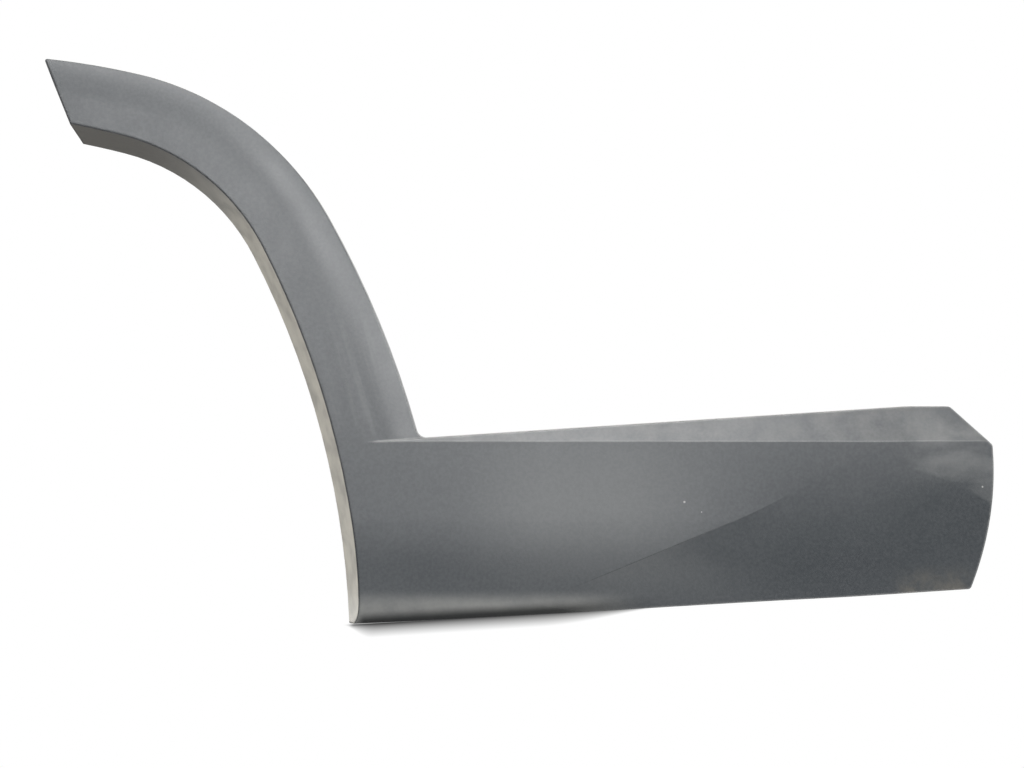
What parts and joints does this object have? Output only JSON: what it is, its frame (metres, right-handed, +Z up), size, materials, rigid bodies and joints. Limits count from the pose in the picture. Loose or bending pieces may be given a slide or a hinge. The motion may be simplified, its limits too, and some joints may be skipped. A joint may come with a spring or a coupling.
{
  "type": "door molding",
  "caption": "Lower cladding of a right rear car door in grained grey plastic, with the front quarter of a wheel arch flare, held by push-in clips and locating pins.",
  "frame": {"origin": "axis of the main locating pin, in the plane where the molding meets the door skin", "axes": "+X along the door to the front of the car, +Z up, +Y into the door, so the visible face looks to -Y"},
  "size_m": [0.942, 0.056, 0.5638],
  "materials": {
    "molding_plastic": "fine moulded grain, weathered grey with dust and light scuffs",
    "clip_plastic": "smooth natural plastic"
  },
  "bodies": {
    "root": {"door_molding": "molding_plastic", "retaining_clips": "clip_plastic"}
  },
  "joints": []
}
